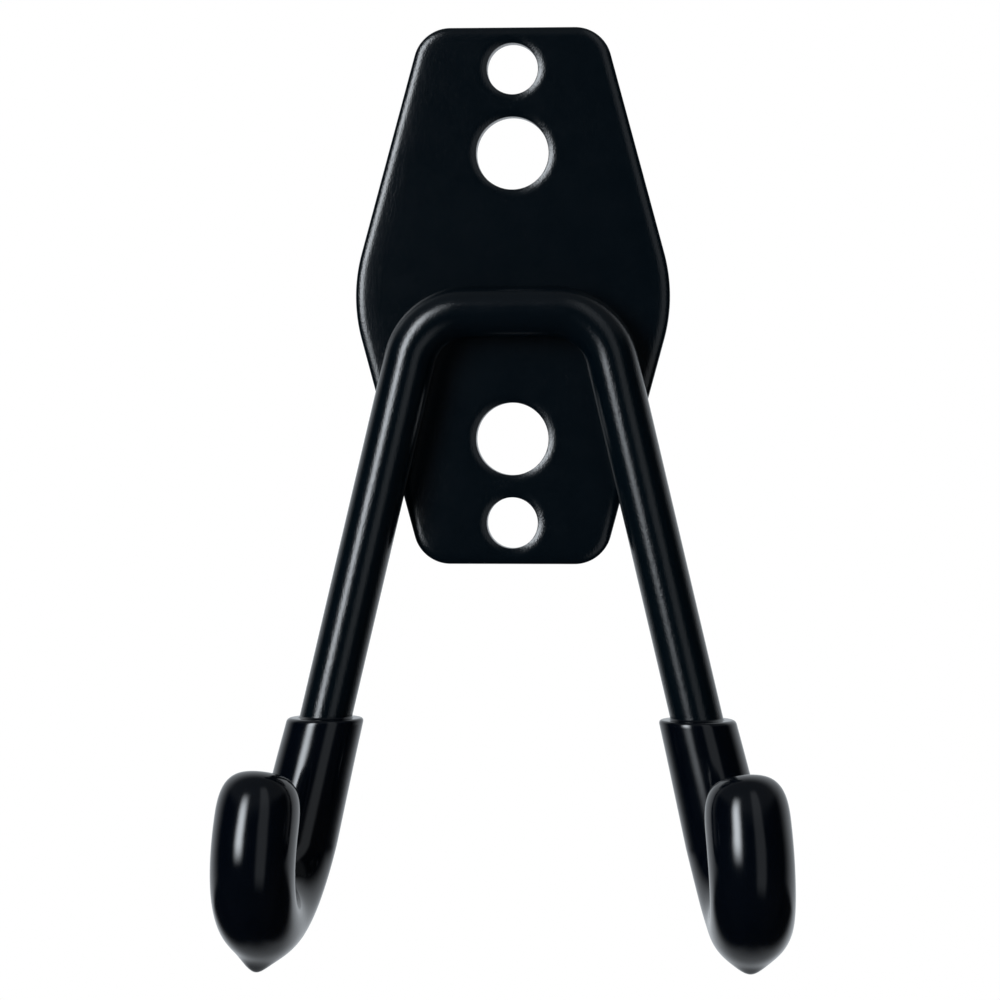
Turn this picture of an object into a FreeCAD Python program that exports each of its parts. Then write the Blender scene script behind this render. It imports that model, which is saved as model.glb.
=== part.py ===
import FreeCAD, Part
import math
import os

from FreeCAD import Vector

# Double hook for a wall: a pressed steel back plate, one round steel rod bent to a U with a J at each end,
# and a dipped soft coat over each J. The rod is resistance welded to the plate, which leaves no bead but
# presses a narrow flat on the rod.
# Millimetres. The origin is the centre of the plate's back face, +Z is up, and the hooks reach towards -Y.

# Screw holes, on the plate's centre line
SMALL_HOLE_DIAMETER = 6.2
SMALL_HOLE_SPACING = 55.0
SMALL_HOLE_END_DISTANCE = 5.0
LARGE_HOLE_DIAMETER = 8.8
LARGE_HOLE_SPACING = 34.6
HOLE_RIM_RADIUS = 0.8

# Back plate, as tall as its outer holes need
PLATE_HEIGHT = SMALL_HOLE_SPACING + 2 * SMALL_HOLE_END_DISTANCE
PLATE_END_WIDTH = 22.0
PLATE_WAIST_WIDTH = 39.6
PLATE_THICKNESS = 2.5
WAIST_CORNER_RADIUS = 20.0
END_CORNER_RADIUS = 4.5
FRONT_EDGE_RADIUS = 1.3
BACK_EDGE_RADIUS = 0.3

# Rod
ROD_DIAMETER = 6.2
CROSSBAR_HEIGHT = -2.0
CROSSBAR_CORNER_SPACING = 21.7
ARM_SPLAY_ANGLE = 13.3
TOP_BEND_RADIUS = 7.2
HOOK_BEND_HEIGHT = -65.3
HOOK_BEND_RADIUS = 9.1
HOOK_BEND_ANGLE = 195.0
HOOK_TURN_OUT_ANGLE = 4.6
HOOK_TWIST_ANGLE = 9.0
TIP_LENGTH = 4.6
ROD_SEAT_DEPTH = 0.2

# Dipped coat over each hook
COAT_LINE_HEIGHT = -51.0
COAT_RIM_THICKNESS = 1.42
COAT_BEND_THICKNESS = 1.75
COAT_TIP_THICKNESS = 1.85
COAT_END_THICKNESS = 2.0
COAT_RIM_RADIUS = 1.0
COAT_END_DOME_RADIUS = 9.0
COAT_END_CORNER_RADIUS = 3.0
DRIP_LENGTH = 1.1
DRIP_RADIUS = 1.5

ROD_RADIUS = ROD_DIAMETER / 2
ROD_AXIS_Y = -(PLATE_THICKNESS + ROD_RADIUS - ROD_SEAT_DEPTH)
TOLERANCE = 1e-6
FORWARD = Vector(0, -1, 0)
BACKWARD = Vector(0, 1, 0)
DOWN = Vector(0, 0, -1)
UP = Vector(0, 0, 1)


def rounded_outline(corners, radii, y):
    """Closed wire in the plane at y through (x, z) corners, each rounded by its radius with a tangent arc."""
    points = [Vector(x, y, z) for x, z in corners]
    ends = []
    for i, corner in enumerate(points):
        before = (points[i - 1] - corner).normalize()
        after = (points[(i + 1) % len(points)] - corner).normalize()
        half_angle = before.getAngle(after) / 2
        setback = radii[i] / math.tan(half_angle)
        middle_distance = radii[i] / math.sin(half_angle) - radii[i]
        middle = corner + (before + after).normalize() * middle_distance
        ends.append((corner + before * setback, middle, corner + after * setback))
    edges = []
    for i, (start, middle, end) in enumerate(ends):
        edges.append(Part.Arc(start, middle, end).toShape())
        next_start = ends[(i + 1) % len(ends)][0]
        edges.append(Part.LineSegment(end, next_start).toShape())
    return Part.Wire(edges)


def edges_at(shape, y):
    """Edges that lie in the plane at y."""
    return [edge for edge in shape.Edges
            if abs(edge.BoundBox.YMin - y) < TOLERANCE and abs(edge.BoundBox.YMax - y) < TOLERANCE]


def back_plate():
    """Six-sided plate with wide rounded waist corners, its front edges and hole rims rounded."""
    half_height = PLATE_HEIGHT / 2
    half_end = PLATE_END_WIDTH / 2
    half_waist = PLATE_WAIST_WIDTH / 2
    corners = [(half_end, half_height), (half_waist, 0), (half_end, -half_height),
               (-half_end, -half_height), (-half_waist, 0), (-half_end, half_height)]
    radii = [END_CORNER_RADIUS, WAIST_CORNER_RADIUS, END_CORNER_RADIUS] * 2
    outline = rounded_outline(corners, radii, 0)
    plate = Part.Face(outline).extrude(FORWARD * PLATE_THICKNESS)
    plate = plate.makeFillet(FRONT_EDGE_RADIUS, edges_at(plate, -PLATE_THICKNESS))
    plate = plate.makeFillet(BACK_EDGE_RADIUS, edges_at(plate, 0))
    small_hole = (SMALL_HOLE_DIAMETER, SMALL_HOLE_SPACING)
    large_hole = (LARGE_HOLE_DIAMETER, LARGE_HOLE_SPACING)
    for diameter, spacing in (small_hole, large_hole):
        for height in (spacing / 2, -spacing / 2):
            plate = plate.cut(rounded_hole(diameter / 2, height))
    return plate


def rounded_hole(radius, height):
    """Cutter for a hole through the plate whose front rim is rounded, made by turning its profile."""
    clear = 1.0
    front = -PLATE_THICKNESS
    rim_start = front + HOLE_RIM_RADIUS
    lip = radius + HOLE_RIM_RADIUS
    arc_middle = Vector(lip - HOLE_RIM_RADIUS * math.cos(math.pi / 4),
                        rim_start - HOLE_RIM_RADIUS * math.sin(math.pi / 4), 0)
    edges = [
        Part.LineSegment(Vector(0, clear, 0), Vector(radius, clear, 0)).toShape(),
        Part.LineSegment(Vector(radius, clear, 0), Vector(radius, rim_start, 0)).toShape(),
        Part.Arc(Vector(radius, rim_start, 0), arc_middle, Vector(lip, front, 0)).toShape(),
        Part.LineSegment(Vector(lip, front, 0), Vector(lip, front - clear, 0)).toShape(),
        Part.LineSegment(Vector(lip, front - clear, 0), Vector(0, front - clear, 0)).toShape(),
        Part.LineSegment(Vector(0, front - clear, 0), Vector(0, clear, 0)).toShape(),
    ]
    cutter = Part.Face(Part.Wire(edges)).revolve(Vector(0, 0, 0), BACKWARD, 360)
    cutter.translate(Vector(0, 0, height))
    return cutter


def turned(vector, axis, angle):
    """The vector turned about the axis by an angle in degrees."""
    return FreeCAD.Rotation(axis, angle).multVec(vector)


def bend_end(start, direction, towards, bend_radius, angle):
    """Centre-line point and direction at the end of a bend."""
    turn = math.radians(angle)
    sideways = towards * (bend_radius * (1 - math.cos(turn)))
    point = start + direction * (bend_radius * math.sin(turn)) + sideways
    return point, direction * math.cos(turn) + towards * math.sin(turn)


def bend_solid(start, direction, towards, bend_radius, angle, radius):
    """Round bar bent by an angle in degrees, from a start point on its centre line."""
    section = Part.Face(Part.Wire(Part.makeCircle(radius, start, direction)))
    centre = start + towards * bend_radius
    return section.revolve(centre, direction.cross(towards), angle)


class Hook:
    """Centre line of one arm and its J. The side is -1 on the left and 1 on the right.

    The J's first quarter bends forward in the arm's plane. The rest is turned about the forward direction
    by the twist angle, so the tip stands nearly upright beside the splayed arm.
    """

    def __init__(self, side):
        splay = math.radians(ARM_SPLAY_ANGLE)
        self.side = side
        self.down = Vector(side * math.sin(splay), 0, -math.cos(splay))
        corner = Vector(side * CROSSBAR_CORNER_SPACING / 2, ROD_AXIS_Y, CROSSBAR_HEIGHT)
        self.corner = corner
        self.top_turn = 90 - ARM_SPLAY_ANGLE
        setback = TOP_BEND_RADIUS * math.tan(math.radians(self.top_turn) / 2)
        self.outward = Vector(side, 0, 0)
        self.top_start = corner - self.outward * setback
        self.arm_start = corner + self.down * setback
        self.bend_start = self.arm_point(HOOK_BEND_HEIGHT)
        away = turned(self.down, BACKWARD, -90 * side)
        turn_out = math.radians(HOOK_TURN_OUT_ANGLE)
        self.towards = FORWARD * math.cos(turn_out) + away * math.sin(turn_out)
        self.bottom = bend_end(self.bend_start, self.down, self.towards, HOOK_BEND_RADIUS, 90)[0]
        self.upward = turned(self.down * -1, self.towards, -side * HOOK_TWIST_ANGLE)
        self.tip_start, self.tip_direction = bend_end(self.bottom, self.towards, self.upward,
                                                      HOOK_BEND_RADIUS, HOOK_BEND_ANGLE - 90)

    def arm_point(self, height):
        """Point on the arm's centre line at a height."""
        return self.corner + self.down * ((height - self.corner.z) / self.down.z)

    def lowest_point(self):
        """Lowest point of the bend's centre line."""
        angle = math.degrees(math.atan2(-self.down.z, self.towards.z))
        return bend_end(self.bend_start, self.down, self.towards, HOOK_BEND_RADIUS, angle)[0]


def hook_bends(hook, radius):
    """Round bars along the bend of a J: its first quarter and the rest."""
    first = bend_solid(hook.bend_start, hook.down, hook.towards, HOOK_BEND_RADIUS, 90, radius)
    rest = bend_solid(hook.bottom, hook.towards, hook.upward, HOOK_BEND_RADIUS, HOOK_BEND_ANGLE - 90, radius)
    return [first, rest]


def hook_rod(hooks, plate):
    """The whole rod as one piece: crossbar, top bends, arms, hook bends, tips and the flat on the plate."""
    left, right = hooks
    crossbar = right.top_start - left.top_start
    pieces = [Part.makeCylinder(ROD_RADIUS, crossbar.Length, left.top_start, crossbar)]
    for hook in hooks:
        arm_length = (hook.bend_start - hook.arm_start).Length
        pieces += [
            bend_solid(hook.top_start, hook.outward, DOWN, TOP_BEND_RADIUS, hook.top_turn, ROD_RADIUS),
            Part.makeCylinder(ROD_RADIUS, arm_length, hook.arm_start, hook.down),
            Part.makeCylinder(ROD_RADIUS, TIP_LENGTH, hook.tip_start, hook.tip_direction),
        ]
        pieces += hook_bends(hook, ROD_RADIUS)
    return pieces[0].multiFuse(pieces[1:]).removeSplitter().cut(plate)


def tip_cap(hook, start_radius, end_radius):
    """Coat over the tip: a slight cone that ends in a shallow dome with a wide rounded corner."""
    length = TIP_LENGTH + COAT_END_THICKNESS
    corner_x = end_radius - COAT_END_CORNER_RADIUS
    dome_centre = Vector(0, 0, length - COAT_END_DOME_RADIUS)
    corner_rise = math.sqrt((COAT_END_DOME_RADIUS - COAT_END_CORNER_RADIUS) ** 2 - corner_x ** 2)
    corner_centre = Vector(corner_x, 0, dome_centre.z + corner_rise)
    join = (corner_centre - dome_centre).normalize()
    side_end = corner_centre + Vector(COAT_END_CORNER_RADIUS, 0, 0)
    corner_middle = corner_centre + (join + Vector(1, 0, 0)).normalize() * COAT_END_CORNER_RADIUS
    dome_start = dome_centre + join * COAT_END_DOME_RADIUS
    dome_middle = dome_centre + (join + UP).normalize() * COAT_END_DOME_RADIUS
    dome_top = Vector(0, 0, length)
    base_edge = Vector(start_radius, 0, 0)
    edges = [
        Part.LineSegment(Vector(0, 0, 0), base_edge).toShape(),
        Part.LineSegment(base_edge, side_end).toShape(),
        Part.Arc(side_end, corner_middle, dome_start).toShape(),
        Part.Arc(dome_start, dome_middle, dome_top).toShape(),
        Part.LineSegment(dome_top, Vector(0, 0, 0)).toShape(),
    ]
    cap = Part.Face(Part.Wire(edges)).revolve(Vector(0, 0, 0), UP, 360)
    cap.Placement = FreeCAD.Placement(hook.tip_start, FreeCAD.Rotation(UP, hook.tip_direction))
    return cap


def drip(hook, radius):
    """Drop under the bend, where the coat ran together before it set: a cone tangent to a small ball."""
    bottom = hook.lowest_point()
    ball_depth = radius + DRIP_LENGTH - DRIP_RADIUS
    tangent_angle = math.acos((radius - DRIP_RADIUS) / ball_depth)
    top_depth = radius * math.cos(tangent_angle)
    low_depth = ball_depth + DRIP_RADIUS * math.cos(tangent_angle)
    cone = Part.makeCone(radius * math.sin(tangent_angle), DRIP_RADIUS * math.sin(tangent_angle),
                         low_depth - top_depth, bottom + DOWN * top_depth, DOWN)
    ball = Part.makeSphere(DRIP_RADIUS, bottom + DOWN * ball_depth)
    return cone.fuse(ball)


def coat_on_arm(hook, rim_radius, bend_radius):
    """Coat over the end of the arm, cut level where the dip ended, with its outer rim rounded."""
    rim_point = hook.arm_point(COAT_LINE_HEIGHT)
    length = (hook.bend_start - rim_point).Length
    overrun = rim_radius
    growth = (bend_radius - rim_radius) / length
    coat = Part.makeCone(rim_radius - growth * overrun, bend_radius, length + overrun,
                         rim_point - hook.down * overrun, hook.down)
    half_width = rim_radius + overrun
    above = Part.makeBox(2 * half_width, 2 * half_width, half_width,
                         rim_point - Vector(half_width, half_width, 0))
    coat = coat.cut(above)
    rim = [face for face in coat.Faces if face.normalAt(0, 0).getAngle(UP) < TOLERANCE]
    return coat.makeFillet(COAT_RIM_RADIUS, rim[0].Edges)


def sleeve(hook, rod):
    """Dipped coat: it follows the hook from a level rim to a closed end, with the rod's room cut out."""
    bend_radius = ROD_RADIUS + COAT_BEND_THICKNESS
    arm = coat_on_arm(hook, ROD_RADIUS + COAT_RIM_THICKNESS, bend_radius)
    tip = tip_cap(hook, bend_radius, ROD_RADIUS + COAT_TIP_THICKNESS)
    outer = arm.multiFuse(hook_bends(hook, bend_radius) + [tip, drip(hook, bend_radius)]).removeSplitter()
    return outer.cut(rod)


def main():
    os.makedirs("parts", exist_ok=True)
    hooks = (Hook(-1), Hook(1))
    plate = back_plate()
    rod = hook_rod(hooks, plate)
    pieces = {"back_plate": plate, "hook_rod": rod}
    for name, hook in zip(("left", "right"), hooks):
        pieces["sleeve_" + name] = sleeve(hook, rod)
    for name, shape in pieces.items():
        shape.exportStep("parts/" + name + ".step")
    return pieces


if __name__ == "__main__":
    for name, shape in main().items():
        print(name, "solids", len(shape.Solids), "valid", shape.isValid(), "volume", round(shape.Volume, 2))
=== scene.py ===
"""Looks of a double wall hook: a powder-coated plate and rod, with a dipped vinyl coat on each hook."""

import math

import bmesh
import bpy
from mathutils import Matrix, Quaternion, Vector, geometry, noise


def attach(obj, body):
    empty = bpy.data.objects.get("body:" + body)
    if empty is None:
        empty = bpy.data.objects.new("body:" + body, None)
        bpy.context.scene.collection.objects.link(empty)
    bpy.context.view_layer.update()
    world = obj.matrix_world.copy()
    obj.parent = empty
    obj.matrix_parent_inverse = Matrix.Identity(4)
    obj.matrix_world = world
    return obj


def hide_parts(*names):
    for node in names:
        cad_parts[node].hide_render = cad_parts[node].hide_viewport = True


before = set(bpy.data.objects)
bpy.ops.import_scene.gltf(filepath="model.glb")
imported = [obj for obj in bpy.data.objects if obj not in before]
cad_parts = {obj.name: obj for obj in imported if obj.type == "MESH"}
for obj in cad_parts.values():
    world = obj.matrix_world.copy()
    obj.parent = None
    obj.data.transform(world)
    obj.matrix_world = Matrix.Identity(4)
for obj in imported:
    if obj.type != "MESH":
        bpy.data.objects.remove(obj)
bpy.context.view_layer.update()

MM = 0.001

# Back plate, in millimetres, as the solid has it
PLATE_HEIGHT = 65.0
PLATE_END_WIDTH = 22.0
PLATE_WAIST_WIDTH = 39.6
PLATE_THICKNESS = 2.5
WAIST_CORNER_RADIUS = 20.0
END_CORNER_RADIUS = 4.5
BACK_EDGE_RADIUS = 0.3
SMALL_HOLE_RADIUS = 3.1
SMALL_HOLE_SPACING = 55.0
LARGE_HOLE_RADIUS = 4.4
LARGE_HOLE_SPACING = 34.6

# Shape of the coated edges, which the solid has only as plain rounds, in millimetres and degrees
EDGE_WIDTH = 1.3
EDGE_DEPTH = 0.46
ROLL_WIDTH = 3.3
ROLL_DEPTH = 0.14
HOLE_ROLL_WIDTH = 1.15
HOLE_ROLL_SLOPE = 20.0
HOLE_EDGE_RADIUS = 0.04

# Hook and coat, in millimetres and degrees, as the solids have them
ROD_RADIUS = 3.1
ROD_AXIS_Y = -5.4
CROSSBAR_HEIGHT = -2.0
CROSSBAR_CORNER_SPACING = 21.7
ARM_SPLAY_ANGLE = 13.3
HOOK_BEND_HEIGHT = -65.3
HOOK_BEND_RADIUS = 9.1
HOOK_BEND_ANGLE = 195.0
HOOK_TURN_OUT_ANGLE = 4.6
HOOK_TWIST_ANGLE = 9.0
TIP_LENGTH = 4.6
COAT_LINE_HEIGHT = -51.0
COAT_RIM_THICKNESS = 1.42
COAT_BEND_THICKNESS = 1.75
COAT_TIP_THICKNESS = 1.85
COAT_END_THICKNESS = 2.0

# Coat details that only the looks have, in millimetres; the left (-1) and right (1) drips differ
RIM_RADIUS = 0.45
RIM_LEVEL_LENGTH = 6.0
RIM_CREEP = 0.2
RIM_CREEP_WIDTH = 0.3
RIM_CREEP_FADE = 3
COAT_OVERLAP = 0.05
END_ROUND_LENGTH = 7.0
END_FULLNESS = 3.3
DRIP_LENGTH = {-1: 1.75, 1: 1.2}
DRIP_NUB_SHARE = 0.5
DRIP_NUB_WIDTH = 1.7
DRIP_WIDTH = 3.1
DRIP_OUTWARD_SHIFT = {-1: 1.3, 1: 0.2}
COAT_WAVE_HEIGHT = 0.03
COAT_WAVE_LENGTH = 6.0

# Fineness of the meshes; the step is in millimetres
CORNER_STEPS = 24
EDGE_STEPS = 14
ROLL_STEPS = 6
HOLE_SIDES = 144
HOLE_ROLL_STEPS = 9
HOLE_EDGE_STEPS = 4
OUTLINE_STEP = 0.5
RING_SIDES = 128
RING_STEP = 0.27
RIM_STEPS = 10
END_STEPS = 44
POINT_TOLERANCE = 1e-6
AREA_TOLERANCE = 1e-6

# Camera: place in metres, angles in degrees, focal length in pixels of the photograph
CAMERA_PLACE = (0.0237, -0.3849, -0.0160)
CAMERA_YAW = 3.767
CAMERA_PITCH = 1.302
FOCAL_PIXELS = 3159.6
FRAME_PIXELS = 1000
SENSOR_WIDTH = 36.0
CAMERA_CLIP_START = 0.01

# Looks: sizes and depths in millimetres, colours in linear light, ranges of noise values
COATING_IOR = 1.5
ROUGH_NOISE = 0.6
POWDER_MOTTLE_SIZE = 3.0
POWDER_MOTTLE_RANGE = (0.3, 0.7)
POWDER_COLOURS = ((0.0004, 0.0025, 0.0044, 1.0), (0.0008, 0.0031, 0.0054, 1.0))
POWDER_ROUGHNESS = (0.155, 0.170)
POWDER_PEEL_SIZE = 0.9
POWDER_PEEL_DEPTH = 0.012
POWDER_GRAIN_SIZE = 0.22
POWDER_GRAIN_DEPTH = 0.024
VINYL_SMUDGE_SIZE = 5.0
VINYL_SMUDGE_DETAIL = 4.0
VINYL_SMUDGE_RANGE = (0.35, 0.7)
VINYL_COLOURS = ((0.0002, 0.0010, 0.0026, 1.0), (0.0006, 0.0018, 0.0042, 1.0))
VINYL_ROUGHNESS = (0.115, 0.150)
VINYL_RIPPLE_SIZE = 1.6
VINYL_RIPPLE_DEPTH = 0.006

# Dust: spacing and radius in millimetres, share of the cells that hold a speck
POWDER_DUST = (3.2, 0.09, 0.06)
POWDER_DUST_COLOUR = (0.30, 0.28, 0.24, 1.0)
VINYL_DUST = (2.6, 0.07, 0.10)
VINYL_DUST_COLOUR = (0.22, 0.21, 0.19, 1.0)
SPECK_CORE_SHARE = 0.6

# Studio: lengths in metres
FLOOR_HEIGHT = -0.30
FLOOR_RADIUS = 1.0
FLOOR_CLEAR_RADIUS = 0.25
FLOOR_FADE_RADIUS = 0.7
FLOOR_SIDES = 96
FLOOR_COLOUR = (0.85, 0.85, 0.85, 1.0)
FLOOR_ROUGHNESS = 0.9
FLOOR_CLEAR_WHITENESS = 0.55
WHITE = (1.0, 1.0, 1.0, 1.0)

# Lights: turns to the right of straight in front and heights, in degrees; white paper has a brightness of 1
KEY_TURN = (-51, -36, -33, -18)
KEY_HEIGHT = (-16, 8, 22, 46)
KEY_LIGHT = 13.4
FILL_TURN = (10, 20, 37, 45)
FILL_HEIGHT = (-45, -25, 50, 65)
FILL_LIGHT = 0.42
WALL_REACH = (0.08, 0.70)
WALL_LIGHT = 0.72
WALL_LOW_HEIGHT = (-45, -12)
WALL_LOW_SHARE = 0.4
FLOOR_EDGE_HEIGHT = (-20, -14)
FLOOR_BEHIND_TURN = (132, 155)
FLOOR_NEAR_HEIGHT = (-85, -60)
TOP_HEIGHT = (22, 34)
TOP_LIGHT = 0.11
LOW_FRONT_HEIGHT = (-78, -60, -30, -5)
LOW_FRONT_REACH = (0.1, -0.1)
LOW_FRONT_LIGHT = 0.01
ROOM_LIGHT = 0.012
LIGHT_TINT = (0.94, 1.0, 1.06)


def smooth_step(value):
    """Smooth rise from 0 to 1."""
    value = min(max(value, 0.0), 1.0)
    return value * value * (3 - 2 * value)


def outline_corners():
    """Corners of the plate as (x, z), each with its radius, clockwise from the front."""
    half_height = PLATE_HEIGHT / 2
    half_end = PLATE_END_WIDTH / 2
    half_waist = PLATE_WAIST_WIDTH / 2
    corners = [(half_end, half_height), (half_waist, 0), (half_end, -half_height),
               (-half_end, -half_height), (-half_waist, 0), (-half_end, half_height)]
    radii = [END_CORNER_RADIUS, WAIST_CORNER_RADIUS, END_CORNER_RADIUS] * 2
    return [Vector(corner) for corner in corners], radii


def plate_outline():
    """Points round the plate's outline as (x, z), each with its outward direction."""
    corners, radii = outline_corners()
    arcs = []
    for i, corner in enumerate(corners):
        before = (corners[i - 1] - corner).normalized()
        after = (corners[(i + 1) % len(corners)] - corner).normalized()
        half_angle = before.angle(after) / 2
        centre = corner + (before + after).normalized() * (radii[i] / math.sin(half_angle))
        out = (corner + before * (radii[i] / math.tan(half_angle)) - centre).normalized()
        start = math.atan2(out.y, out.x)
        arc = []
        for step in range(CORNER_STEPS + 1):
            turn = start - (math.pi - 2 * half_angle) * step / CORNER_STEPS
            out = Vector((math.cos(turn), math.sin(turn)))
            arc.append((centre + out * radii[i], out))
        arcs.append(arc)
    outline = []
    for i, arc in enumerate(arcs):
        outline += arc
        end, out = arc[-1]
        gap = arcs[(i + 1) % len(arcs)][0][0] - end
        steps = round(gap.length / OUTLINE_STEP)
        outline += [(end + gap * step / steps, out) for step in range(1, steps)]
    return outline


def edge_drop(inset):
    """How far the front face lies behind its flat level at a distance inside the outline."""
    drop = 0.0
    if inset < EDGE_WIDTH:
        drop = EDGE_DEPTH * (1 - math.sqrt(max(1 - (1 - inset / EDGE_WIDTH) ** 2, 0)))
    if inset < ROLL_WIDTH:
        drop += ROLL_DEPTH * (1 - inset / ROLL_WIDTH) ** 2
    return drop


def hole_drop(reach):
    """How far the front face lies behind its flat level at a distance outside a hole's edge."""
    share = max(1 - reach / HOLE_ROLL_WIDTH, 0)
    return math.tan(math.radians(HOLE_ROLL_SLOPE)) * HOLE_ROLL_WIDTH / 2 * share ** 2


def plate_holes():
    """Centre and radius of each hole."""
    small = (SMALL_HOLE_RADIUS, SMALL_HOLE_SPACING)
    large = (LARGE_HOLE_RADIUS, LARGE_HOLE_SPACING)
    for radius, spacing in (small, large):
        for height in (spacing / 2, -spacing / 2):
            yield Vector((0, height)), radius


def hole_edge_start():
    """How far outside a hole's wall its rolled rim ends and its small edge round begins."""
    return HOLE_EDGE_RADIUS * (1 - math.sin(math.radians(HOLE_ROLL_SLOPE)))


def circle(centre, radius):
    """Points round a circle, clockwise from the front."""
    for i in range(HOLE_SIDES):
        angle = -2 * math.pi * i / HOLE_SIDES
        yield centre + Vector((math.cos(angle), math.sin(angle))) * radius


def bridge(mesh, near, far):
    """Quads between two rings of vertices."""
    for i in range(len(near)):
        j = (i + 1) % len(near)
        mesh.faces.new((near[i], near[j], far[j], far[i]))


def fill_flat(mesh, vertices, rings, holes):
    """Triangles between vertices of a convex face, but not in its holes. The rings are lists of indices."""
    points = [Vector((vertex.co.x, vertex.co.z)) for vertex in vertices]
    edges = [(ring[i - 1], ring[i]) for ring in rings for i in range(len(ring))]
    _, _, triangles, sources, _, _ = geometry.delaunay_2d_cdt(points, edges, [], 0, POINT_TOLERANCE)
    for triangle in triangles:
        corners = [sources[k][0] for k in triangle]
        a, b, c = [points[k] for k in corners]
        middle = (a + b + c) / 3
        in_hole = any((middle - centre).length < radius for centre, radius in holes)
        if not in_hole and geometry.area_tri(a, b, c) > AREA_TOLERANCE:
            mesh.faces.new([vertices[k] for k in corners])


def part_shading(mesh, vertices, rings):
    """Keeps a flat face's shading apart from its neighbours'. The rings are lists of indices."""
    for ring in rings:
        for i in range(len(ring)):
            mesh.edges.get((vertices[ring[i - 1]], vertices[ring[i]])).smooth = False


def add_plate_front(mesh, outline):
    """The front face with rounded edge and rolled hole rims. Gives the rings at the edge and at the holes."""
    insets = [EDGE_WIDTH * (1 - math.cos(math.pi / 2 * i / EDGE_STEPS)) for i in range(EDGE_STEPS + 1)]
    roll = ROLL_WIDTH - EDGE_WIDTH
    insets += [EDGE_WIDTH + roll * i / ROLL_STEPS for i in range(1, ROLL_STEPS + 1)]
    rim_start = hole_edge_start()
    front = []
    rings = []
    for inset in insets:
        ring = []
        for point, out in outline:
            place = point - out * inset
            reach = min((place - centre).length - radius for centre, radius in plate_holes())
            if inset and reach < HOLE_ROLL_WIDTH:
                continue
            ring.append(len(front))
            front.append(mesh.verts.new((place.x, edge_drop(inset) - PLATE_THICKNESS, place.y)))
        if not inset:
            rings.append(ring)
    hole_rings = []
    for centre, radius in plate_holes():
        for i in range(HOLE_ROLL_STEPS + 1):
            reach = rim_start + HOLE_ROLL_WIDTH * i / HOLE_ROLL_STEPS
            ring = []
            for place in circle(centre, radius + reach):
                drop = edge_drop(PLATE_HEIGHT / 2 - abs(place.y)) + hole_drop(reach - rim_start)
                ring.append(len(front))
                front.append(mesh.verts.new((place.x, drop - PLATE_THICKNESS, place.y)))
            if i == 0:
                rings.append(ring)
                hole_rings.append([front[k] for k in ring])
    holes = [(centre, radius + rim_start) for centre, radius in plate_holes()]
    fill_flat(mesh, front, rings, holes)
    return [front[k] for k in rings[0]], hole_rings


def plate_mesh():
    """Plate with a shaped front, plain hole walls and a flat back."""
    mesh = bmesh.new()
    outline = plate_outline()
    border, hole_rings = add_plate_front(mesh, outline)
    back = add_plate_sides(mesh, outline, border)
    back_rings = [list(range(len(back)))]
    for (centre, radius), rim in zip(plate_holes(), hole_rings):
        wall = add_hole_wall(mesh, centre, radius, rim)
        back_rings.append(list(range(len(back), len(back) + len(wall))))
        back += wall
    fill_flat(mesh, back, back_rings, list(plate_holes()))
    part_shading(mesh, back, back_rings)
    bmesh.ops.recalc_face_normals(mesh, faces=mesh.faces)
    return mesh


def add_plate_sides(mesh, outline, border):
    """The plate's side and its small back edge round. Gives the ring where the back face begins."""
    near = border
    for i in range(EDGE_STEPS + 1):
        angle = math.pi / 2 * i / EDGE_STEPS
        inset = BACK_EDGE_RADIUS * (1 - math.cos(angle))
        y = -BACK_EDGE_RADIUS * (1 - math.sin(angle))
        places = [point - out * inset for point, out in outline]
        far = [mesh.verts.new((place.x, y, place.y)) for place in places]
        bridge(mesh, near, far)
        near = far
    return near


def add_hole_wall(mesh, centre, radius, rim):
    """The small edge round and the straight wall of a hole. Gives the ring at the back face."""
    near = rim
    slope = math.radians(HOLE_ROLL_SLOPE)
    depths = [vertex.co.y for vertex in rim]
    for i in range(1, HOLE_EDGE_STEPS + 1):
        angle = slope + (math.pi / 2 - slope) * i / HOLE_EDGE_STEPS
        reach = HOLE_EDGE_RADIUS * (1 - math.sin(angle))
        sink = HOLE_EDGE_RADIUS * (math.cos(slope) - math.cos(angle))
        far = [mesh.verts.new((place.x, depth + sink, place.y))
               for place, depth in zip(circle(centre, radius + reach), depths)]
        bridge(mesh, near, far)
        near = far
    far = [mesh.verts.new((place.x, 0, place.y)) for place in circle(centre, radius)]
    bridge(mesh, near, far)
    return far


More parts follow.
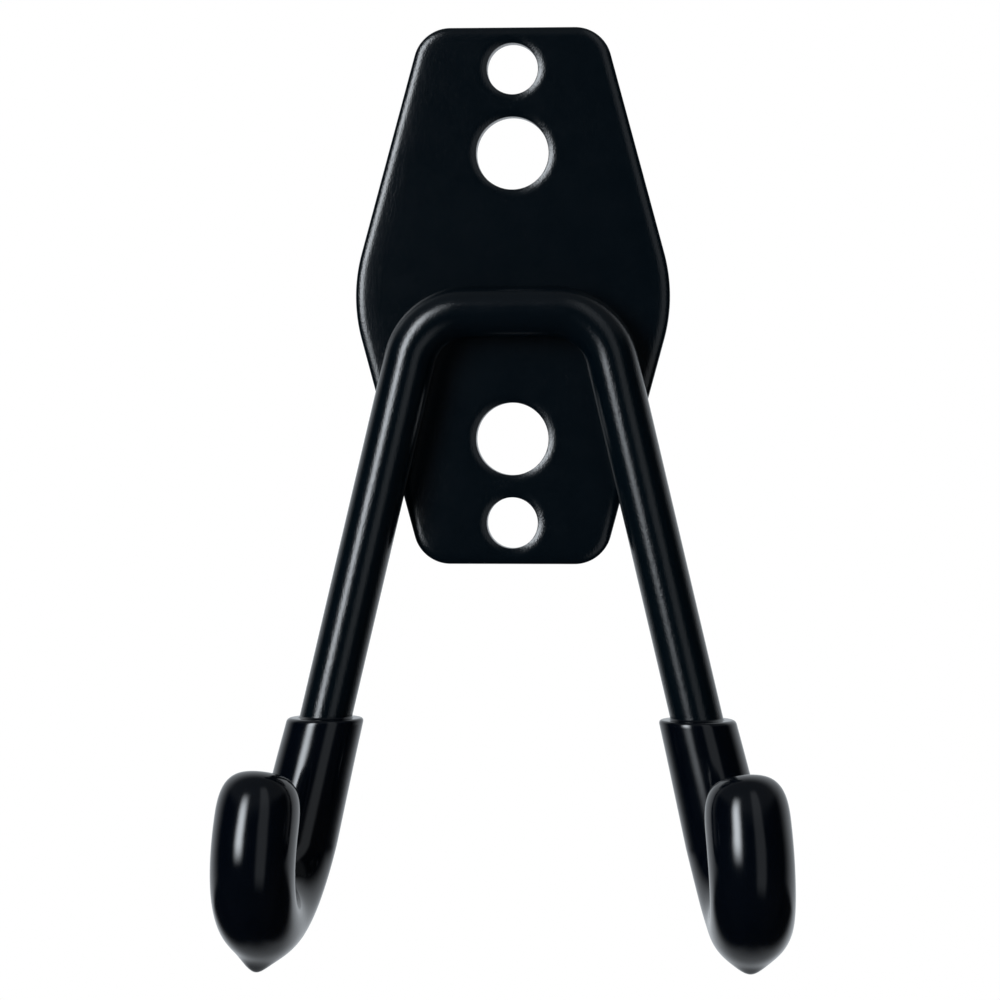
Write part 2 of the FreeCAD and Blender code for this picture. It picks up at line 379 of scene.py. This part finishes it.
class Hook:
    """Centre line of one arm and its J, in millimetres. The side is -1 on the left and 1 on the right.

    The J's first quarter bends forward in the arm's plane. The rest is turned about the forward direction.
    """

    def __init__(self, side):
        splay = math.radians(ARM_SPLAY_ANGLE)
        turn_out = math.radians(HOOK_TURN_OUT_ANGLE)
        self.side = side
        self.down = Vector((side * math.sin(splay), 0, -math.cos(splay)))
        outward = Vector((side * math.cos(splay), 0, math.sin(splay)))
        self.towards = Vector((0, -math.cos(turn_out), 0)) + outward * math.sin(turn_out)
        self.upward = Quaternion(self.towards, -side * math.radians(HOOK_TWIST_ANGLE)) @ -self.down
        corner = Vector((side * CROSSBAR_CORNER_SPACING / 2, ROD_AXIS_Y, CROSSBAR_HEIGHT))
        self.rim_point = corner + self.down * ((COAT_LINE_HEIGHT - corner.z) / self.down.z)
        self.bend_start = corner + self.down * ((HOOK_BEND_HEIGHT - corner.z) / self.down.z)
        self.bottom = self.bend_start + (self.down + self.towards) * HOOK_BEND_RADIUS
        self.arm_length = (self.bend_start - self.rim_point).length
        self.bend_length = HOOK_BEND_RADIUS * math.radians(HOOK_BEND_ANGLE)
        self.length = self.arm_length + self.bend_length + TIP_LENGTH
        self.lowest = self.bend_station(math.atan2(-self.down.z, self.towards.z))[0]

    def bend_station(self, turn):
        """Centre-line point, direction and a direction square to it at a turn of the bend, in radians."""
        quarter = math.pi / 2
        if turn <= quarter:
            start, direction, square = self.bend_start, self.down, self.towards
            centre = start + self.towards * HOOK_BEND_RADIUS
            swing = Quaternion(self.down.cross(self.towards), turn)
        else:
            start, direction, square = self.bottom, self.towards, -self.down
            centre = start + self.upward * HOOK_BEND_RADIUS
            swing = Quaternion(self.towards.cross(self.upward), turn - quarter)
        return centre + swing @ (start - centre), swing @ direction, swing @ square

    def station(self, distance):
        """Centre-line point, direction and a direction square to it at a distance past the coat's rim."""
        if distance <= self.arm_length:
            return self.rim_point + self.down * distance, self.down, self.towards
        turn = (distance - self.arm_length) / HOOK_BEND_RADIUS
        point, direction, square = self.bend_station(min(turn, math.radians(HOOK_BEND_ANGLE)))
        past = max(distance - self.arm_length - self.bend_length, 0)
        return point + direction * past, direction, square


def coat_radius(hook, distance):
    """Outer radius of the coat at a distance past its rim."""
    if distance < hook.arm_length:
        growth = (COAT_BEND_THICKNESS - COAT_RIM_THICKNESS) / hook.arm_length
        return ROD_RADIUS + COAT_RIM_THICKNESS + growth * distance
    grown = hook.length + COAT_END_THICKNESS - END_ROUND_LENGTH - hook.arm_length
    growth = (COAT_TIP_THICKNESS - COAT_BEND_THICKNESS) * smooth_step((distance - hook.arm_length) / grown)
    return ROD_RADIUS + COAT_BEND_THICKNESS + growth


def rim_profile():
    """Radius and depth below the coat's line, from inside the rod out over the rim to the coat's side."""
    side = ROD_RADIUS + COAT_RIM_THICKNESS
    profile = [(ROD_RADIUS - COAT_OVERLAP, -RIM_CREEP)]
    for i in range(RIM_STEPS):
        share = i / RIM_STEPS
        profile.append((ROD_RADIUS + RIM_CREEP_WIDTH * share, -RIM_CREEP * (1 - share) ** RIM_CREEP_FADE))
    for i in range(RIM_STEPS):
        angle = math.pi / 2 * i / RIM_STEPS
        inset = RIM_RADIUS * (1 - math.sin(angle))
        profile.append((side - inset, RIM_RADIUS * (1 - math.cos(angle))))
    return profile


def end_profile():
    """Distance past the rod's end and radius over the coat's closed end, which rounds off evenly."""
    radius = ROD_RADIUS + COAT_TIP_THICKNESS
    profile = []
    for i in range(END_STEPS):
        angle = math.pi / 2 * i / END_STEPS
        rise = math.sin(angle) ** (2 / END_FULLNESS)
        reach = math.cos(angle) ** (2 / END_FULLNESS)
        profile.append((COAT_END_THICKNESS - END_ROUND_LENGTH * (1 - rise), radius * reach))
    return profile


def ring_directions(direction, square):
    """Outward directions round a ring square to a direction."""
    across = direction.cross(square)
    for i in range(RING_SIDES):
        angle = 2 * math.pi * i / RING_SIDES
        yield square * math.cos(angle) + across * math.sin(angle)


def rim_ring(hook, radius, depth):
    """A level ring round the arm, at a depth below the coat's line."""
    ring = []
    for out in ring_directions(hook.down, hook.towards):
        distance = (depth + radius * out.z) / -hook.down.z
        ring.append(hook.rim_point + hook.down * distance + out * radius)
    return ring


def side_ring(hook, distance):
    """A ring of the coat's side: level at the rim, square to the rod further on."""
    radius = coat_radius(hook, distance)
    point, direction, square = hook.station(distance)
    level = 1 - smooth_step(distance / RIM_LEVEL_LENGTH)
    ring = []
    for out in ring_directions(direction, square):
        slide = level * radius * out.z / -hook.down.z
        ring.append(point + direction * slide + out * radius)
    return ring


def add_drip(hook, vertices):
    """Draws the coat's underside down into a small soft drop below the bend."""
    radius = ROD_RADIUS + COAT_BEND_THICKNESS
    foot = hook.lowest + Vector((hook.side * DRIP_OUTWARD_SHIFT[hook.side], 0, 0))
    for vertex in vertices:
        place = vertex.co
        depth = hook.lowest.z - place.z
        if depth > 0:
            reach = math.hypot(place.x - foot.x, place.y - foot.y)
            nub = DRIP_NUB_SHARE * math.exp(-(reach / DRIP_NUB_WIDTH) ** 2)
            skirt = (1 - DRIP_NUB_SHARE) * math.exp(-(reach / DRIP_WIDTH) ** 2)
            place.z -= DRIP_LENGTH[hook.side] * (nub + skirt) * smooth_step(depth / radius)


def add_waves(vertices):
    """Makes the coat slightly uneven, as a dipped coat sets."""
    for vertex in vertices:
        wave = noise.noise(vertex.co / COAT_WAVE_LENGTH)
        vertex.co += vertex.normal * (wave * COAT_WAVE_HEIGHT)


def coat_mesh(hook):
    """Skin of one coat: rings from inside its rim, round the bend and over the closed end."""
    mesh = bmesh.new()
    rings = [rim_ring(hook, radius, depth) for radius, depth in rim_profile()]
    start = RIM_RADIUS
    end = hook.length + COAT_END_THICKNESS - END_ROUND_LENGTH
    steps = round((end - start) / RING_STEP)
    rings += [side_ring(hook, start + (end - start) * i / steps) for i in range(steps)]
    rod_end, direction, square = hook.station(hook.length)
    for past, radius in end_profile():
        centre = rod_end + direction * past
        rings.append([centre + out * radius for out in ring_directions(direction, square)])
    loops = [[mesh.verts.new(place) for place in ring] for ring in rings]
    for near, far in zip(loops, loops[1:]):
        bridge(mesh, near, far)
    apex = mesh.verts.new(rod_end + direction * COAT_END_THICKNESS)
    for i in range(RING_SIDES):
        mesh.faces.new((loops[-1][i], loops[-1][(i + 1) % RING_SIDES], apex))
    add_drip(hook, mesh.verts)
    bmesh.ops.recalc_face_normals(mesh, faces=mesh.faces)
    mesh.normal_update()
    add_waves(mesh.verts)
    return mesh


def add_object(name, mesh, material):
    """Turns a mesh in millimetres into a smooth object in metres."""
    bmesh.ops.scale(mesh, vec=(MM, MM, MM), verts=mesh.verts)
    data = bpy.data.meshes.new(name)
    mesh.to_mesh(data)
    mesh.free()
    data.shade_smooth()
    data.materials.append(material)
    piece = bpy.data.objects.new(name, data)
    bpy.context.scene.collection.objects.link(piece)
    return piece


# Numbers of the colour sockets on a mix node
MIX_FIRST = 6
MIX_SECOND = 7
MIX_RESULT = 2


class Nodes:
    """Short calls for building a shader."""

    def __init__(self, tree):
        self.tree = tree

    def feed(self, socket, value):
        """Links a socket to an output, or sets it to a plain value."""
        if isinstance(value, bpy.types.NodeSocket):
            self.tree.links.new(value, socket)
        else:
            socket.default_value = value

    def add(self, kind, inputs=None, **settings):
        """A node with its settings, and its inputs by name or number."""
        node = self.tree.nodes.new(kind)
        for name, value in settings.items():
            setattr(node, name, value)
        for name, value in (inputs or {}).items():
            self.feed(node.inputs[name], value)
        return node

    def math(self, operation, *values):
        """A sum on one to three values."""
        return self.add("ShaderNodeMath", dict(enumerate(values)), operation=operation).outputs[0]

    def ramp(self, value, start, end, low=0.0, high=1.0):
        """A value's smooth change from low to high between a start and an end."""
        inputs = {"Value": value, "From Min": start, "From Max": end, "To Min": low, "To Max": high}
        return self.add("ShaderNodeMapRange", inputs, interpolation_type="SMOOTHSTEP").outputs["Result"]

    def band(self, value, limits):
        """1 between two limits of a value, with a soft rise and fall."""
        rise_start, rise_end, fall_start, fall_end = limits
        return self.math("MULTIPLY", self.ramp(value, rise_start, rise_end),
                         self.ramp(value, fall_start, fall_end, 1.0, 0.0))

    def noise(self, place, size, detail=2.0, roughness=0.5):
        """Noise from 0 to 1 whose features have about the given size, in metres."""
        inputs = {"Vector": place, "Scale": 1 / size, "Detail": detail, "Roughness": roughness}
        return self.add("ShaderNodeTexNoise", inputs).outputs["Fac"]

    def mix(self, share, first, second):
        """A colour between two colours."""
        inputs = {0: share, MIX_FIRST: first, MIX_SECOND: second}
        return self.add("ShaderNodeMix", inputs, data_type="RGBA").outputs[MIX_RESULT]

    def bump(self, height, distance, normal=None):
        """A bumped normal from a height of 0 to 1 that stands for the given distance, in metres."""
        inputs = {"Strength": 1.0, "Distance": distance, "Height": height}
        if normal:
            inputs["Normal"] = normal
        return self.add("ShaderNodeBump", inputs).outputs["Normal"]


def new_material(name):
    """An empty material with its node calls, its surface shader and its place on the object."""
    material = bpy.data.materials.new(name)
    material.use_nodes = True
    nodes = Nodes(material.node_tree)
    shader = material.node_tree.nodes["Principled BSDF"]
    place = nodes.add("ShaderNodeTexCoord").outputs["Object"]
    return material, nodes, shader, place


def dust(nodes, place, kind):
    """1 on sparse round specks of a kind of dust and 0 elsewhere."""
    spacing, radius, share = kind
    cells = nodes.add("ShaderNodeTexVoronoi", {"Vector": place, "Scale": 1 / (spacing * MM)}, feature="F1")
    lot = nodes.add("ShaderNodeSeparateColor", {"Color": cells.outputs["Color"]}).outputs["Red"]
    chosen = nodes.math("LESS_THAN", lot, share)
    edge = radius / spacing
    speck = nodes.ramp(cells.outputs["Distance"], edge * SPECK_CORE_SHARE, edge, 1.0, 0.0)
    return nodes.math("MULTIPLY", chosen, speck)


def powder_coat():
    """Satin black powder coat: fine grain over a soft orange peel, with slight mottling and dust."""
    material, nodes, shader, place = new_material("satin_powder_coat")
    mottle = nodes.noise(place, POWDER_MOTTLE_SIZE * MM)
    grain = nodes.noise(place, POWDER_GRAIN_SIZE * MM, roughness=ROUGH_NOISE)
    peel = nodes.noise(place, POWDER_PEEL_SIZE * MM)
    specks = dust(nodes, place, POWDER_DUST)
    colour = nodes.mix(mottle, *POWDER_COLOURS)
    roughness = nodes.ramp(mottle, *POWDER_MOTTLE_RANGE, *POWDER_ROUGHNESS)
    soft = nodes.bump(peel, POWDER_PEEL_DEPTH * MM)
    nodes.feed(shader.inputs["Base Color"], nodes.mix(specks, colour, POWDER_DUST_COLOUR))
    nodes.feed(shader.inputs["Roughness"], roughness)
    nodes.feed(shader.inputs["Normal"], nodes.bump(grain, POWDER_GRAIN_DEPTH * MM, soft))
    shader.inputs["IOR"].default_value = COATING_IOR
    return material


def dipped_vinyl():
    """Glossy black dipped vinyl: a smooth skin with faint waves, smudges and dust."""
    material, nodes, shader, place = new_material("glossy_dipped_vinyl")
    smudge = nodes.noise(place, VINYL_SMUDGE_SIZE * MM, VINYL_SMUDGE_DETAIL, ROUGH_NOISE)
    ripple = nodes.noise(place, VINYL_RIPPLE_SIZE * MM)
    specks = dust(nodes, place, VINYL_DUST)
    colour = nodes.mix(smudge, *VINYL_COLOURS)
    roughness = nodes.ramp(smudge, *VINYL_SMUDGE_RANGE, *VINYL_ROUGHNESS)
    nodes.feed(shader.inputs["Base Color"], nodes.mix(specks, colour, VINYL_DUST_COLOUR))
    nodes.feed(shader.inputs["Roughness"], roughness)
    nodes.feed(shader.inputs["Normal"], nodes.bump(ripple, VINYL_RIPPLE_DEPTH * MM))
    shader.inputs["IOR"].default_value = COATING_IOR
    return material


def floor_material():
    """Pale floor that reads white to the camera, yet keeps the object's shadow near the object."""
    material, nodes, shader, place = new_material("pale_floor")
    shader.inputs["Base Color"].default_value = FLOOR_COLOUR
    shader.inputs["Roughness"].default_value = FLOOR_ROUGHNESS
    reach = nodes.add("ShaderNodeVectorMath", {0: place}, operation="LENGTH").outputs["Value"]
    white = nodes.ramp(reach, FLOOR_CLEAR_RADIUS, FLOOR_FADE_RADIUS, FLOOR_CLEAR_WHITENESS, 1.0)
    rays = nodes.add("ShaderNodeLightPath").outputs
    seen = nodes.math("ADD", rays["Is Camera Ray"], rays["Is Transmission Ray"])
    glow = nodes.add("ShaderNodeEmission", {"Color": WHITE, "Strength": 1.0})
    blend = nodes.add("ShaderNodeMixShader")
    nodes.feed(blend.inputs[0], nodes.math("MULTIPLY", seen, white))
    nodes.feed(blend.inputs[1], shader.outputs[0])
    nodes.feed(blend.inputs[2], glow.outputs[0])
    output = material.node_tree.nodes["Material Output"]
    nodes.feed(output.inputs["Surface"], blend.outputs[0])
    return material


def add_floor():
    """Round pale floor below the hanging part."""
    mesh = bmesh.new()
    bmesh.ops.create_circle(mesh, cap_ends=True, segments=FLOOR_SIDES, radius=FLOOR_RADIUS / MM)
    floor = add_object("floor", mesh, floor_material())
    floor.location.z = FLOOR_HEIGHT
    floor.visible_glossy = False


def add_surroundings():
    """White surroundings behind the object, a soft light at the upper left and weaker ones elsewhere."""
    world = bpy.data.worlds.new("studio")
    bpy.context.scene.world = world
    world.use_nodes = True
    nodes = Nodes(world.node_tree)
    background = world.node_tree.nodes["Background"]
    direction = nodes.add("ShaderNodeTexCoord").outputs["Generated"]
    axes = nodes.add("ShaderNodeSeparateXYZ", {"Vector": direction}).outputs
    forward = nodes.math("MULTIPLY", axes["Y"], -1.0)
    turn = nodes.math("DEGREES", nodes.math("ARCTAN2", axes["X"], forward))
    height = nodes.math("DEGREES", nodes.math("ARCSINE", axes["Z"]))

    far_behind = nodes.ramp(nodes.math("ABSOLUTE", turn), *FLOOR_BEHIND_TURN)
    near_floor = nodes.math("MULTIPLY", far_behind, nodes.ramp(height, *FLOOR_NEAR_HEIGHT))
    open_wall = nodes.math("MAXIMUM", nodes.ramp(height, *FLOOR_EDGE_HEIGHT), near_floor)
    wall = nodes.math("MULTIPLY", nodes.ramp(axes["Y"], *WALL_REACH), open_wall)
    wall = nodes.math("MULTIPLY", wall, nodes.ramp(height, *WALL_LOW_HEIGHT, WALL_LOW_SHARE, 1.0))
    fill = nodes.math("MULTIPLY", nodes.band(turn, FILL_TURN), nodes.band(height, FILL_HEIGHT))
    top = nodes.ramp(height, *TOP_HEIGHT)
    in_front = nodes.ramp(axes["Y"], *LOW_FRONT_REACH)
    low_front = nodes.math("MULTIPLY", nodes.band(height, LOW_FRONT_HEIGHT), in_front)
    key = nodes.math("MULTIPLY", nodes.band(turn, KEY_TURN), nodes.band(height, KEY_HEIGHT))
    light = ROOM_LIGHT
    for share, strength in ((wall, WALL_LIGHT), (fill, FILL_LIGHT), (top, TOP_LIGHT),
                            (low_front, LOW_FRONT_LIGHT), (key, KEY_LIGHT)):
        light = nodes.math("MULTIPLY_ADD", share, strength, light)
    tinted = nodes.add("ShaderNodeVectorMath", {0: LIGHT_TINT, "Scale": light}, operation="SCALE")
    rays = nodes.add("ShaderNodeLightPath").outputs
    seen = nodes.math("MAXIMUM", rays["Is Camera Ray"], rays["Is Transmission Ray"])
    nodes.feed(background.inputs["Color"], nodes.mix(seen, tinted.outputs[0], WHITE))
    background.inputs["Strength"].default_value = 1.0


def add_camera():
    """Camera at the photograph's place, with its angle and width of view."""
    data = bpy.data.cameras.new("camera")
    data.sensor_width = SENSOR_WIDTH
    data.lens = SENSOR_WIDTH * FOCAL_PIXELS / FRAME_PIXELS
    data.clip_start = CAMERA_CLIP_START
    camera = bpy.data.objects.new("camera", data)
    camera.location = CAMERA_PLACE
    camera.rotation_euler = (math.radians(90 - CAMERA_PITCH), 0, math.radians(CAMERA_YAW))
    bpy.context.scene.collection.objects.link(camera)
    bpy.context.scene.camera = camera


bpy.context.scene.view_settings.view_transform = "Standard"
add_camera()
add_floor()
add_surroundings()

powder = powder_coat()
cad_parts["hook_rod"].material_slots[0].material = powder
plate = add_object("plate", plate_mesh(), powder)
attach(plate, "root")
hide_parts("back_plate")

vinyl = dipped_vinyl()
for name, side in (("left", -1), ("right", 1)):
    coat = add_object("coat_" + name, coat_mesh(Hook(side)), vinyl)
    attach(coat, "root")
    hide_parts("sleeve_" + name)
